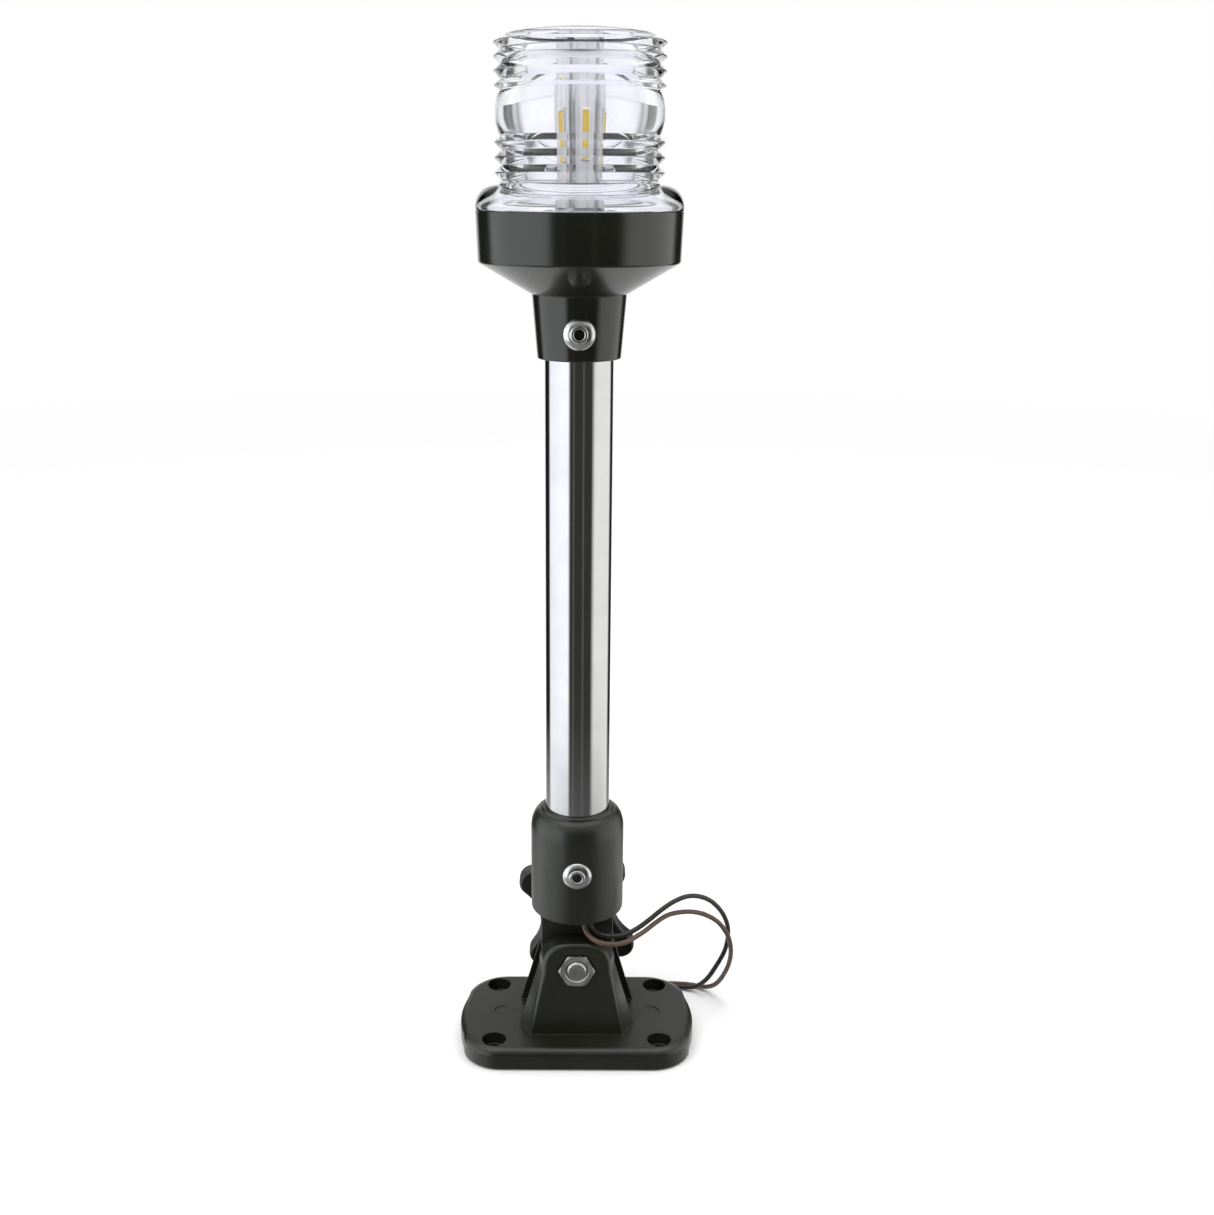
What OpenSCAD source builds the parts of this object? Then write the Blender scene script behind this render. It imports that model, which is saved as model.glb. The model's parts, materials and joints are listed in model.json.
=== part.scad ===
// Fold-down all-round boat navigation light: lens head on a tube, hinged to a deck base.
// Millimetres. Origin at the centre of the base's underside, +Z up the tube, +X along the base.

/* [Deck base] */
// Length of the mounting plate
plate_l = 97; // [94:1:102]
// Width of the mounting plate
plate_w = 58; // [56:1:62]
// Thickness of the mounting plate
plate_t = 9; // [8:0.5:10]
// Screw hole spacing along the plate
hole_dx = 67; // [62:1:69]
// Screw hole spacing across the plate
hole_dy = 41; // [38:1:43]
// Screw clearance hole diameter
hole_d = 5.5; // [4.5:0.1:6]
// Diameter of the recess for each screw head
sink_d = 9.6; // [8:0.2:11]
// Depth of the recess for each screw head
sink_depth = 5.4; // [3:0.2:6]
// Height of the fold axis above the deck
pivot_z = 38.6; // [38:0.1:40]
// Distance from the axis to the ears' outer faces
ear_face = 17.5; // [17:0.1:18]
// Width of the slot between the ears
slot_w = 18.4; // [18.2:0.1:19]

/* [Mast] */
// Outside diameter of the tube
tube_d = 25.4; // [25.4:0.1:25.4]
// Wall thickness of the tube
tube_wall = 1.25; // [1:0.05:1.5]
// Outside diameter of the socket that holds the tube
socket_d = 37.2; // [36:0.2:38]
// Height of the socket's bottom face
socket_z = 57.6; // [57.4:0.1:60]
// Height of the socket's rim
socket_top = 103.5; // [98:0.5:110]
// Height where the lamp's collar starts
collar_z = 281; // [240:1:400]

/* [Lamp head] */
// Diameter of the black lamp housing
housing_d = 74.2; // [73:0.1:76]
// Height of the housing's straight band
band_h = 17.8; // [16:0.2:20]
// Largest diameter of the clear lens ribs
rib_d = 60.4; // [58:0.2:62]
// Outside diameter of the lens wall between ribs
lens_d = 55.4; // [54:0.2:56.4]
// Inside diameter of the lens wall
lens_bore = 46; // [44:0.5:47]

/* [Clamp knob] */
// Radius of the circle through the knob's lobe centres
lobe_pcd_r = 24; // [23:0.2:24.6]
// Radius of each lobe
lobe_r = 6; // [5.6:0.1:6.4]
// Thickness of the knob's lobes
knob_t = 9; // [8:0.5:12]
// Length of the neck between the washer and the lobes
neck_l = 8.2; // [4:0.2:10]

/* [Hidden] */
$fn = 96;

// Base plate outline and edges
corner_r = 16;
end_r = 46;
edge_r = 3;
mark_d = 8;
mark_x = 30.5;
mark_depth = 0.3;

// Ears: half widths of the outline at the foot, the axis and the height of its crown
ear_foot = [19, 24.2];
ear_waist = [13.4, 15.3];
ear_crown = 11.7;
crown_power = 2.6;
ear_edge = 1.6;
slot_y = slot_w / 2;
// Thickness of the thin slices that the plate and the ears are lofted between
slice_t = 0.2;

// Pivot hardware: M8 stud, nut and washer
stud_r = 4;
pivot_bore_r = 4.08;
nut_af = 13;
nut_t = 6.5;
nut_gap = 0.25;
nut_depth = 5.5;
washer_r = 8;
washer_t = 1.5;
stack_gap = 0.1;
knob_y = ear_face + washer_t + 2 * stack_gap;

// Tongue of the socket, in the slot
tongue_t = slot_w - 0.6;
tongue_r = 14.4;
tongue_w = 29;
stop_gap = 0.3;

// Socket profile
socket_r = socket_d / 2;
socket_foot_r = 14.4;
foot_rise = 1.8;
chamber_r = 14.2;
chamber_z = socket_z + 3.4;
seat_z = socket_z + 12;
tube_r = tube_d / 2;
tube_in_r = tube_r - tube_wall;
fit_gap = 0.05;
rim_r = 14.1;
shoulder_z = socket_top - 9;
grommet_pos = [4, -11.75];
grommet_r = 2.6;

// Head levels
collar_top = collar_z + 23;
band_z = collar_top + 11;
head_z = band_z + band_h;
housing_r = housing_d / 2;
ledge_r = 33.6;
deck_t = 2.1;
cavity_r = 32.4;
post_r_pos = 24;
board_z = band_z + 4;
board_t = 1.6;
seal_r = 34.4;

// Rivets
rivet_z = [81, collar_z + 10];
rivet_face = [socket_r, 16.7];
rivet_head_r = 5.6;
rivet_body_r = 2.4;
rivet_hole_r = 1.8;

// Lens levels above the head
rib_tip_r = rib_d / 2;
wall_r = lens_d / 2;
bore_r = lens_bore / 2;
skirt_h = 9.3;
low_ribs = [12.7, 17.8, 22.9];
bulge = [25.3, 39.8];
bulge_edge_r = 28.2;
bulge_r = 29.8;
top_ribs = [41.4, 46.2, 50.9, 55.5];
rib_half = 2.5;
crown_h = 58;
crown_r = 26.2;
dome_rise = 2.6;
roof_t = 3;

// LED tower
tower_af = 14.6;
tower_turn = 12.7;
tower_h = 50;
led_board_t = 1;
led_board_w = 6.4;
led_size = [3.2, 0.8, 8.4];
led_h = 29.6;

// Wires
wire_d = 2;
wire_pitch = 2.4;
coil_at = [0, 43.5];
coil_in_r = 7.8;
coil_out_r = 12;
coil_h = 4;

black_route = [
  [5.2, -11.75, 57.3], [5.5, -11.9, 55.6], [7.2, -12.6, 53.6], [11, -13.4, 52.2], [16, -13, 51.6],
  [20.5, -11.8, 52.2], [25, -9.5, 53.6], [30, -6.8, 56.2], [35, -4.2, 59.2], [40, -1.4, 61.2],
  [45.5, 1.6, 61.8], [51, 4.6, 60], [56.2, 8, 55.8], [61, 11.6, 48.8], [63.8, 14.8, 41],
  [64.4, 17.8, 33], [63.4, 20.6, 25], [60.6, 23.8, 16.4], [57, 27, 8], [52.4, 30, 2.4],
  [46, 31.8, 1], [37, 32.5, 1], [26, 32.5, 1], [16, 32.5, 1], [6.6, 32.5, 1]];
brown_route = [
  [2.8, -11.75, 57.3], [3, -12.6, 55.4], [4.4, -14.6, 53.2], [8, -16.8, 51.4], [12.7, -17.4, 50.5],
  [18.9, -15.4, 50], [26.4, -10.6, 51.8], [32.7, -6, 54.4], [38.1, -2.2, 55.6], [45.7, 2.2, 54.4],
  [52.7, 5.6, 51.4], [59, 8.4, 46.2], [63.4, 10.6, 39], [65.4, 13.6, 31], [65.6, 17.2, 23],
  [64.2, 21.4, 14.6], [61.4, 26, 6.6], [57.6, 30.4, 2], [52, 33.4, 1], [45, 34.6, 1],
  [34, 34.7, 1], [22, 34.7, 1], [8.9, 34.7, 1]];
// Inside the socket: how far the leads have moved in towards the tube's axis, and their height over its floor
lead_route = [[0, 0.05], [0, 5], [0.8, 7], [3.2, 10], [6.8, 13.5], [9.8, 17.5], [11.3, 23], [11.75, 34]];

function unit(v) = v / norm(v);
function side_of(t) = unit(cross(t, [0, 1, 0]));
function tangent(p, i) = unit(p[min(i + 1, len(p) - 1)] - p[max(i - 1, 0)]);
function ring(p, i, r, n) =
  let(t = tangent(p, i), a = side_of(t), b = cross(t, a))
  [for (k = [0:n - 1]) p[i] + r * (cos(360 * k / n) * a + sin(360 * k / n) * b)];

// A round wire swept along the points of a route
module swept(path, r, n = 8) {
  rings = len(path);
  points = [for (i = [0:rings - 1]) each ring(path, i, r, n)];
  sides = [for (i = [0:rings - 2]) for (k = [0:n - 1])
    each [[i * n + k, (i + 1) * n + k, i * n + (k + 1) % n],
      [(i + 1) * n + k, (i + 1) * n + (k + 1) % n, i * n + (k + 1) % n]]];
  first = [[for (k = [0:n - 1]) k]];
  last = [[for (k = [n - 1:-1:0]) (rings - 1) * n + k]];
  polyhedron(points, concat(first, last, sides));
}

// Points of a circular arc in a plane
function arc(c, r, from, to, steps) =
  [for (k = [0:steps]) let(a = from + (to - from) * k / steps) c + r * [cos(a), sin(a)]];

// Plate outline: rounded corners joined by bowed ends
function plate_outline(in) =
  let(hl = plate_l / 2 - in, hw = plate_w / 2 - in, bow = end_r - sqrt(pow(end_r, 2) - pow(hw - corner_r, 2)),
    right = concat(arc([hl - end_r, 0], end_r, -asin((hw - corner_r) / end_r), asin((hw - corner_r) / end_r), 10),
      arc([hl - bow - corner_r, hw - corner_r], corner_r, 18, 90, 8)))
  concat(right, [for (k = [len(right) - 1:-1:0]) [-right[k][0], right[k][1]]]);

module plate_slice(z, in) {
  pts = plate_outline(in);
  translate([0, 0, z]) linear_extrude(slice_t) {
    polygon(pts);
    mirror([0, 1]) polygon(pts);
  }
}

// Ear outline seen along the fold axis: crown over a flared foot
function crown_point(a, w, h) =
  [w * sign(cos(a)) * pow(abs(cos(a)), 2 / crown_power), h * pow(sin(a), 2 / crown_power)];
module ear_outline(foot, waist, crown) {
  polygon(concat([for (k = [0:24]) [0, pivot_z] + crown_point(180 * k / 24, waist, crown)],
    [[-foot, plate_t - 1], [foot, plate_t - 1]]));
}

module ear_slice(y, foot, waist, crown) {
  translate([0, -y, 0]) rotate([90, 0, 0]) linear_extrude(slice_t) ear_outline(foot, waist, crown);
}

// One ear of the fork, on the -Y side, with softened outer edges
module ear() {
  hull() {
    ear_slice(ear_face - slice_t, ear_foot[0] - 0.6, ear_waist[0] - ear_edge, ear_crown - ear_edge);
    ear_slice(ear_face - 0.7, ear_foot[0], ear_waist[0] - 0.5, ear_crown - 0.5);
    ear_slice(ear_face - ear_edge - slice_t, ear_foot[0] + 1, ear_waist[0] + 0.3, ear_crown);
    ear_slice(slot_y + 1, ear_foot[1], ear_waist[1], ear_crown + 0.2);
    ear_slice(slot_y, ear_foot[1] - 0.5, ear_waist[1] - 0.5, ear_crown - 0.3);
  }
}

module y_cylinder(r, from, to) {
  translate([0, to, pivot_z]) rotate([90, 0, 0]) cylinder(r = r, h = to - from);
}

module hole_grid() {
  for (x = [-1, 1], y = [-1, 1]) translate([x * hole_dx / 2, y * hole_dy / 2, 0]) children();
}

// Stop web that the tongue's heel stands on when the mast is up
module stop_web() {
  stop_top = pivot_z - tongue_r - stop_gap;
  translate([3, -slot_y - 1, plate_t - 1]) cube([14, slot_w + 2, stop_top - plate_t + 1]);
}

module mounting_base() {
  color("#33352d") difference() {
    union() {
      hull() {
        plate_slice(0, 0.6);
        plate_slice(0.6, 0);
        for (a = [0:22.5:90])
          plate_slice(plate_t - slice_t - edge_r * (1 - sin(a)), edge_r * (1 - cos(a)));
      }
      ear();
      mirror([0, 1, 0]) ear();
      stop_web();
    }
    hole_grid() translate([0, 0, -1]) cylinder(d = hole_d, h = plate_t + 2);
    hole_grid() translate([0, 0, plate_t - sink_depth]) cylinder(d = sink_d, h = sink_depth + 1);
    for (x = [-1, 1]) translate([x * mark_x, 0, plate_t - mark_depth]) cylinder(d = mark_d, h = 1);
    y_cylinder(pivot_bore_r, -ear_face - 1, ear_face + 1);
    translate([0, -ear_face + nut_depth, pivot_z]) rotate([90, 0, 0])
      cylinder(r = (nut_af / 2 + nut_gap) / cos(30), h = nut_depth + 1, $fn = 6);
  }
}

module pivot_nut() {
  color("#c9ccce") difference() {
    intersection() {
      translate([0, -ear_face + nut_depth, pivot_z]) rotate([90, 0, 0])
        cylinder(r = nut_af / 2 / cos(30), h = nut_t, $fn = 6);
      translate([0, -ear_face + nut_depth, pivot_z]) rotate([90, 0, 0]) rotate_extrude()
        polygon([[0, 0], [8, 0], [8, nut_t - 0.7], [6.6, nut_t], [0, nut_t]]);
    }
    y_cylinder(stud_r + fit_gap, -ear_face - 4, -ear_face + nut_depth + 1);
    translate([0, -ear_face + nut_depth - nut_t, pivot_z]) rotate([-90, 0, 0])
      cylinder(r1 = stud_r + 0.9, r2 = stud_r, h = 0.9);
  }
}

module black_wire_run() {
  color("#26271f") swept(black_route, wire_d / 2);
}

module brown_wire_run() {
  color("#6b5148") swept(brown_route, wire_d / 2);
}

// The last turns of both wires, laid together in one flat coil on the deck
module wire_coil() {
  color("#3a332d") translate([coil_at[0], coil_at[1], 0]) rotate_extrude()
    polygon([[coil_in_r, 0.4], [coil_in_r + 0.4, 0], [coil_out_r - 0.4, 0], [coil_out_r, 0.4],
      [coil_out_r, coil_h - 0.4], [coil_out_r - 0.4, coil_h], [coil_in_r + 0.4, coil_h], [coil_in_r, coil_h - 0.4]]);
}

module socket_bore() {
  rotate_extrude() polygon([[0, chamber_z], [chamber_r, chamber_z], [chamber_r, seat_z - 2],
    [tube_r + fit_gap, seat_z], [tube_r + fit_gap, socket_top + 1], [0, socket_top + 1]]);
}

module rivet_hole(i) {
  translate([0, 0, rivet_z[i]]) rotate([90, 0, 0]) cylinder(r = rivet_body_r + fit_gap, h = 40);
}

// Tongue that turns in the base's slot, with a square heel on the stop's side
module tongue() {
  rotate([90, 0, 0]) linear_extrude(tongue_t, center = true) difference() {
    translate([0, pivot_z]) union() {
      circle(r = tongue_r);
      translate([-tongue_w / 2, 0]) square([tongue_w, socket_z + 1 - pivot_z]);
      translate([0, -tongue_r]) square([tongue_w / 2, tongue_r + 1]);
    }
    translate([0, pivot_z]) circle(r = pivot_bore_r);
  }
}

module mast_socket() {
  color("#2f312a") difference() {
    union() {
      rotate_extrude() polygon(concat([[0, socket_z], [socket_foot_r, socket_z], [socket_r - 0.3, socket_z + foot_rise],
        [socket_r, socket_z + foot_rise + 0.4], [socket_r, shoulder_z]],
        [for (k = [1:6]) [rim_r + (socket_r - rim_r) * cos(15 * k), shoulder_z + (socket_top - 1 - shoulder_z) * sin(15 * k)]],
        [[rim_r, socket_top - 0.6], [rim_r - 0.5, socket_top], [0, socket_top]]));
      tongue();
      translate([0, -12, rivet_z[0]]) rotate([90, 0, 0]) cylinder(r = rivet_head_r, h = rivet_face[0] - 12);
    }
    socket_bore();
    translate([grommet_pos[0], grommet_pos[1], socket_z - 1]) cylinder(r = grommet_r, h = 6);
    rivet_hole(0);
  }
}

// Rubber grommet in the socket's floor, with a hole for each wire
module wire_grommet() {
  color("#1d1e1c") translate([grommet_pos[0], grommet_pos[1], socket_z]) difference() {
    union() {
      cylinder(r = grommet_r, h = 3.4);
      translate([0, 0, 3.4]) cylinder(r = grommet_r - 0.5, h = 0.8);
    }
    for (s = [-1, 1]) translate([s * wire_pitch / 2, 0, -1]) cylinder(r = wire_d / 2, h = 6);
  }
}

module mast_tube() {
  color("#d5d7d8") difference() {
    translate([0, 0, seat_z]) cylinder(r = tube_r, h = collar_top - 2 - seat_z);
    translate([0, 0, seat_z - 1]) cylinder(r = tube_in_r, h = collar_top + 2 - seat_z);
    rivet_hole(0);
    rivet_hole(1);
  }
}

// Blind rivet: domed flange with a raised ring, hollow body and set end
module rivet_shell(i) {
  grip = rivet_face[i] - tube_in_r;
  translate([0, -rivet_face[i], rivet_z[i]]) rotate([90, 0, 0]) rotate_extrude()
    polygon([[rivet_hole_r, -grip - 4], [3.2, -grip - 3], [3.4, -grip - 1.4], [2.8, -grip - 0.3],
      [rivet_body_r, -grip - 0.3], [rivet_body_r, 0], [rivet_head_r, 0], [rivet_head_r, 0.35],
      [4.9, 0.95], [4, 1.35], [3.15, 1.5], [3.05, 1.95], [2.8, 2.1], [2.2, 2.1], [rivet_hole_r, 1.8]]);
}

module rivet_shells() {
  color("#b9bbb9") for (i = [0, 1]) rivet_shell(i);
}

module rivet_mandrels() {
  color("#77797a") for (i = [0, 1])
    translate([0, -rivet_face[i] + 0.2, rivet_z[i]]) rotate([-90, 0, 0])
      cylinder(r = rivet_hole_r - fit_gap, h = rivet_face[i] - tube_in_r + 3.2);
}

// The two wires inside the mast, from the grommet up to the driver board
module lead_pair() {
  for (s = [-1, 1])
    color(s < 0 ? "#6b5148" : "#26271f")
      swept(concat([for (p = lead_route)
        [grommet_pos[0] * (1 + p[0] / grommet_pos[1]) + s * wire_pitch / 2, grommet_pos[1] + p[0], socket_z + p[1]]],
        [[s * wire_pitch / 2, 0, board_z - 0.2]]), wire_d / 2 - 0.05);
}

module tube_plug() {
  color("#1d1e1c") translate([0, 0, collar_top - 8.4]) difference() {
    cylinder(r = tube_in_r - fit_gap, h = 6.4);
    for (s = [-1, 1]) translate([s * wire_pitch / 2, 0, -1]) cylinder(r = wire_d / 2, h = 10);
  }
}

module lamp_housing() {
  color("#3a3d36") difference() {
    union() {
      rotate_extrude() polygon([[0, collar_z], [15, collar_z], [15.3, collar_z + 0.4], [17.2, collar_top],
        [17.6, collar_top + 0.2], [housing_r - 0.9, band_z], [housing_r - 0.5, band_z + 0.5],
        [housing_r, head_z - 0.6], [housing_r - 0.5, head_z], [ledge_r, head_z], [ledge_r, head_z - deck_t - 0.1],
        [cavity_r, head_z - deck_t - 0.1], [cavity_r, band_z + 1.6], [14.5, collar_top + 2], [0, collar_top + 2]]);
      for (a = [90, 210, 330]) rotate(a) translate([post_r_pos, 0, band_z - 5.2]) cylinder(r = 3, h = 9.2);
      translate([0, -13, rivet_z[1]]) rotate([90, 0, 0]) cylinder(r = rivet_head_r, h = rivet_face[1] - 13);
    }
    translate([0, 0, collar_z - 1]) cylinder(r = tube_r + fit_gap, h = collar_top - collar_z - 1);
    cylinder(r = 3, h = head_z);
    rivet_hole(1);
    for (a = [90, 210, 330]) rotate(a) translate([post_r_pos, 0, band_z - 2]) cylinder(r = 1.05, h = 7);
    translate([0, 0, head_z - 1]) difference() {
      cylinder(r = seal_r + 1.4, h = 2);
      translate([0, 0, -1]) cylinder(r = seal_r - 0.05, h = 4);
    }
  }
}

// Black disc that closes the housing and carries the LED tower
module light_deck() {
  color("#26271f") translate([0, 0, head_z - deck_t - 0.1]) difference() {
    cylinder(r = ledge_r - 0.1, h = deck_t);
    translate([0, 0, -1]) cylinder(r = 3.2, h = 5);
    for (s = [-1, 1]) translate([s * 11, 0, -1]) cylinder(r = 1.3, h = 5);
  }
}

module lens_seal() {
  color("#1d1e1c") translate([0, 0, head_z - 1]) difference() {
    cylinder(r = seal_r + 1.3, h = 1);
    translate([0, 0, -1]) cylinder(r = seal_r, h = 3);
  }
}

// One V-shaped ring of the lens wall, around height h
function rib(h) = [[wall_r, h - rib_half], [rib_tip_r, h - 0.15], [rib_tip_r, h + 0.15], [wall_r, h + rib_half]];

module lens() {
  mid = (bulge[0] + bulge[1]) / 2;
  half = (bulge[1] - bulge[0]) / 2;
  color("#dfe8ee", 0.35) translate([0, 0, head_z]) rotate_extrude() polygon(concat(
    [[ledge_r, 0], [housing_r - 0.1, 0], [housing_r, 0.5], [housing_r, 1.1]],
    [for (k = [1:9]) [28.3 + (housing_r - 28.3) * cos(10 * k), 1.1 + (skirt_h - 1.1) * sin(10 * k)]],
    [[wall_r, skirt_h]],
    [for (h = low_ribs) each rib(h)],
    [for (k = [-5:5]) [bulge_edge_r + (bulge_r - bulge_edge_r) * (1 - pow(k / 5, 2)), mid + half * k / 5]],
    [[28, top_ribs[0] - 1]],
    [for (i = [0:3]) each [[rib_tip_r, top_ribs[i] - 0.15], [rib_tip_r, top_ribs[i] + 0.15],
      if (i < 3) [wall_r, (top_ribs[i] + top_ribs[i + 1]) / 2]]],
    [for (k = [8:-1:0]) [crown_r * k / 8, crown_h + dome_rise * (1 - pow(k / 8, 2))]],
    [[0, crown_h - roof_t],
      [bore_r - 1.5, crown_h - roof_t], [bore_r, crown_h - roof_t - 1.5], [bore_r, 8.5]],
    [for (k = [8:-1:1]) [25 + (ledge_r - 25) * cos(10 * k), 0.8 + 5 * sin(10 * k)]]));
}

module driver_board() {
  color("#2f6b42") translate([0, 0, board_z]) difference() {
    cylinder(r = 29, h = board_t);
    translate([0, 0, -1]) for (a = [90, 210, 330]) rotate(a) translate([post_r_pos, 0, 0]) cylinder(r = 1.35, h = 4);
  }
}

module driver_capacitors() {
  color("#2b2d33") for (p = [[-14, -6], [-14, 5]])
    translate([p[0], p[1], board_z + board_t]) {
      cylinder(r = 3.15, h = 7.6);
      translate([0, 0, 7.6]) cylinder(r = 2.7, h = 0.3);
    }
}

module driver_inductor() {
  color("#4a4a4c") translate([14, 0, board_z + board_t]) rotate_extrude()
    polygon([[0, 0], [5, 0], [5, 1], [3.6, 1.4], [3.6, 4.2], [5, 4.6], [5, 5.6], [0, 5.6]]);
}

module driver_chips() {
  color("#1b1c1e") for (p = [[0, 12, 5, 4], [0, -12, 4, 3], [8, 10, 3, 2], [-6, -14, 3, 2]])
    translate([p[0] - p[2] / 2, p[1] - p[3] / 2, board_z + board_t]) cube([p[2], p[3], 1.2]);
}

module board_screws() {
  color("#b5b7b8") for (a = [90, 210, 330]) rotate(a) translate([post_r_pos, 0, board_z + board_t]) {
    cylinder(r = 2.3, h = 1.6);
    translate([0, 0, -6]) cylinder(r = 1, h = 6);
  }
}

module tower_leads() {
  color("#a33b30") for (s = [-1, 1]) translate([s * 1.6, 0, board_z + board_t])
    cylinder(r = 0.6, h = head_z + 3.8 - board_z - board_t);
}

// Hexagonal aluminium column with a foot flange, hollow for its leads
module led_tower() {
  color("#c4c6c6") translate([0, 0, head_z - 0.1]) difference() {
    union() {
      cylinder(r = 14, h = 1.6);
      rotate(tower_turn) cylinder(d = tower_af / cos(30), h = tower_h, $fn = 6);
    }
    translate([0, 0, -1]) cylinder(r = 2.6, h = tower_h - 3);
    for (s = [-1, 1]) translate([s * 11, 0, -1]) cylinder(r = 1.3, h = 4);
  }
}

module on_faces() {
  for (k = [0:5]) rotate(tower_turn + 30 + 60 * k) children();
}

module led_boards() {
  color("#e6e7e2") translate([0, 0, head_z + 3]) on_faces()
    translate([tower_af / 2, -led_board_w / 2, 0]) cube([led_board_t, led_board_w, tower_h - 5]);
}

module led_chips() {
  color("#e6b93a") translate([0, 0, head_z + led_h - led_size[2] / 2]) on_faces()
    translate([tower_af / 2 + led_board_t, -led_size[0] / 2, 0]) cube([led_size[1], led_size[0], led_size[2]]);
}

module tower_screws() {
  color("#b5b7b8") for (s = [-1, 1]) translate([s * 11, 0, head_z + 1.5]) {
    cylinder(r = 2.3, h = 1.5);
    translate([0, 0, -4.4]) cylinder(r = 1.25, h = 4.4);
  }
}

module knob_washer() {
  color("#c9ccce") difference() {
    y_cylinder(washer_r, ear_face + stack_gap, ear_face + stack_gap + washer_t);
    y_cylinder(stud_r + 0.3, ear_face - 1, ear_face + washer_t + 2);
  }
}

// Smooth four-lobed outline with shallow gaps, shrunk evenly by an inset
gap_to = 16;
lobe_x = lobe_pcd_r * sin(45);
gap_r = (pow(lobe_x, 2) + pow(lobe_x - gap_to, 2) - pow(lobe_r, 2)) / (2 * (lobe_r + lobe_x - gap_to));
gap_at = gap_to + gap_r;
gap_sweep = atan2(lobe_x, gap_at - lobe_x);
function lobe_angle(k) = 142 + 90 * k;
function star_points(in) = [for (k = [0:3]) each concat(
  arc(lobe_pcd_r * [cos(lobe_angle(k)), sin(lobe_angle(k))], lobe_r - in,
    lobe_angle(k) - 45 - gap_sweep, lobe_angle(k) + 45 + gap_sweep, 14),
  arc(gap_at * [cos(lobe_angle(k) + 45), sin(lobe_angle(k) + 45)], gap_r + in,
    lobe_angle(k) + 225 + gap_sweep, lobe_angle(k) + 225 - gap_sweep, 8))];

module star_slab(y, t, in) {
  translate([0, y + t, pivot_z]) rotate([90, 0, 0]) linear_extrude(t) polygon(star_points(in));
}

module star_knob() {
  lobe_y = knob_y + neck_l;
  color("#23241f") difference() {
    union() {
      y_cylinder(10, knob_y, lobe_y + 1);
      star_slab(lobe_y, 1, 0.8);
      star_slab(lobe_y + 1, knob_t - 2.4, 0);
      star_slab(lobe_y + knob_t - 1.4, 0.8, 0.6);
      star_slab(lobe_y + knob_t - 0.6, 0.6, 1.6);
      y_cylinder(9, lobe_y + knob_t - 1, lobe_y + knob_t + 1.2);
    }
    y_cylinder(stud_r + 0.02, knob_y - 1, knob_y + 10);
  }
}

module knob_stud() {
  color("#c0c2c3") translate([0, knob_y + 10, pivot_z]) rotate([90, 0, 0]) rotate_extrude()
    polygon([[0, 0], [stud_r, 0], [stud_r, knob_y + ear_face + 10.6], [stud_r - 0.7, knob_y + ear_face + 11.3],
      [0, knob_y + ear_face + 11.3]]);
}

mounting_base();
pivot_nut();
black_wire_run();
brown_wire_run();
wire_coil();
mast_socket();
wire_grommet();
mast_tube();
rivet_shells();
rivet_mandrels();
lead_pair();
tube_plug();
lamp_housing();
light_deck();
lens_seal();
lens();
driver_board();
driver_capacitors();
driver_inductor();
driver_chips();
board_screws();
tower_leads();
led_tower();
led_boards();
led_chips();
tower_screws();
knob_washer();
star_knob();
knob_stud();
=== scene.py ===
# Fold-down all-round navigation light: the looks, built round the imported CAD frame.
# Outlines and routes are in millimetres; MM turns them into the frame's metres.
import json
import math

import bmesh
import bpy
from mathutils import Matrix, Vector


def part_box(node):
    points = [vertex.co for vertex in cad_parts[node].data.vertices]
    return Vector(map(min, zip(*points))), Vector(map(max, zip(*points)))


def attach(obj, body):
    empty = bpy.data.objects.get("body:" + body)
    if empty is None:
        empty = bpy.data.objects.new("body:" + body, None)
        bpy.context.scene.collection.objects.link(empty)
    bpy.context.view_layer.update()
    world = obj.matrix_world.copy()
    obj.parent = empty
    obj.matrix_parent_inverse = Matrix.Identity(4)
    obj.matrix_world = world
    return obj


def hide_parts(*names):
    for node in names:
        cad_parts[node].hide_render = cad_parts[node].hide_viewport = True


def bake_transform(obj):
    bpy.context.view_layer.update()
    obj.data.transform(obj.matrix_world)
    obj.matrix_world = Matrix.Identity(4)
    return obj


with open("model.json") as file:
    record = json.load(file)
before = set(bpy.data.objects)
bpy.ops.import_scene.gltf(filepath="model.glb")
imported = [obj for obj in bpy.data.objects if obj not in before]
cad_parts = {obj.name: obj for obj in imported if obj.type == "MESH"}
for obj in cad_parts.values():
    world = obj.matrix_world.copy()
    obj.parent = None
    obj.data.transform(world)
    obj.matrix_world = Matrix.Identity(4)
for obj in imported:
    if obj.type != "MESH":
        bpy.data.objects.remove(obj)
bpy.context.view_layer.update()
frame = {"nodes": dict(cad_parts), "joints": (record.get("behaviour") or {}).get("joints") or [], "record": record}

MM = 0.001
scene = bpy.context.scene

# ---------------------------------------------------------------- camera

camera_data = bpy.data.cameras.new("camera")
camera_data.lens = 41.84
camera_data.sensor_width = 36
camera_data.shift_x = 0.0237
camera = bpy.data.objects.new("camera", camera_data)
camera.location = (0, -0.5206, 0.3405)
camera.rotation_euler = (Matrix.Rotation(math.radians(90 - 16.55), 3, "X")
                         @ Matrix.Rotation(math.radians(0.22), 3, "Z")).to_euler()
scene.collection.objects.link(camera)
scene.camera = camera

# ---------------------------------------------------------------- mesh helpers


def make_object(name, mesh):
    piece = bpy.data.objects.new(name, mesh)
    scene.collection.objects.link(piece)
    return piece


def make_mesh(name, points, faces):
    """A closed mesh from points in millimetres, its faces turned outwards."""
    mesh = bpy.data.meshes.new(name)
    mesh.from_pydata([Vector(p) * MM for p in points], [], faces)
    bm = bmesh.new()
    bm.from_mesh(mesh)
    bmesh.ops.recalc_face_normals(bm, faces=bm.faces)
    bm.to_mesh(mesh)
    bm.free()
    return make_object(name, mesh)


def apply_modifiers(piece):
    evaluated = piece.evaluated_get(bpy.context.evaluated_depsgraph_get())
    mesh = bpy.data.meshes.new_from_object(evaluated)
    piece.modifiers.clear()
    piece.data = mesh


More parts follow.
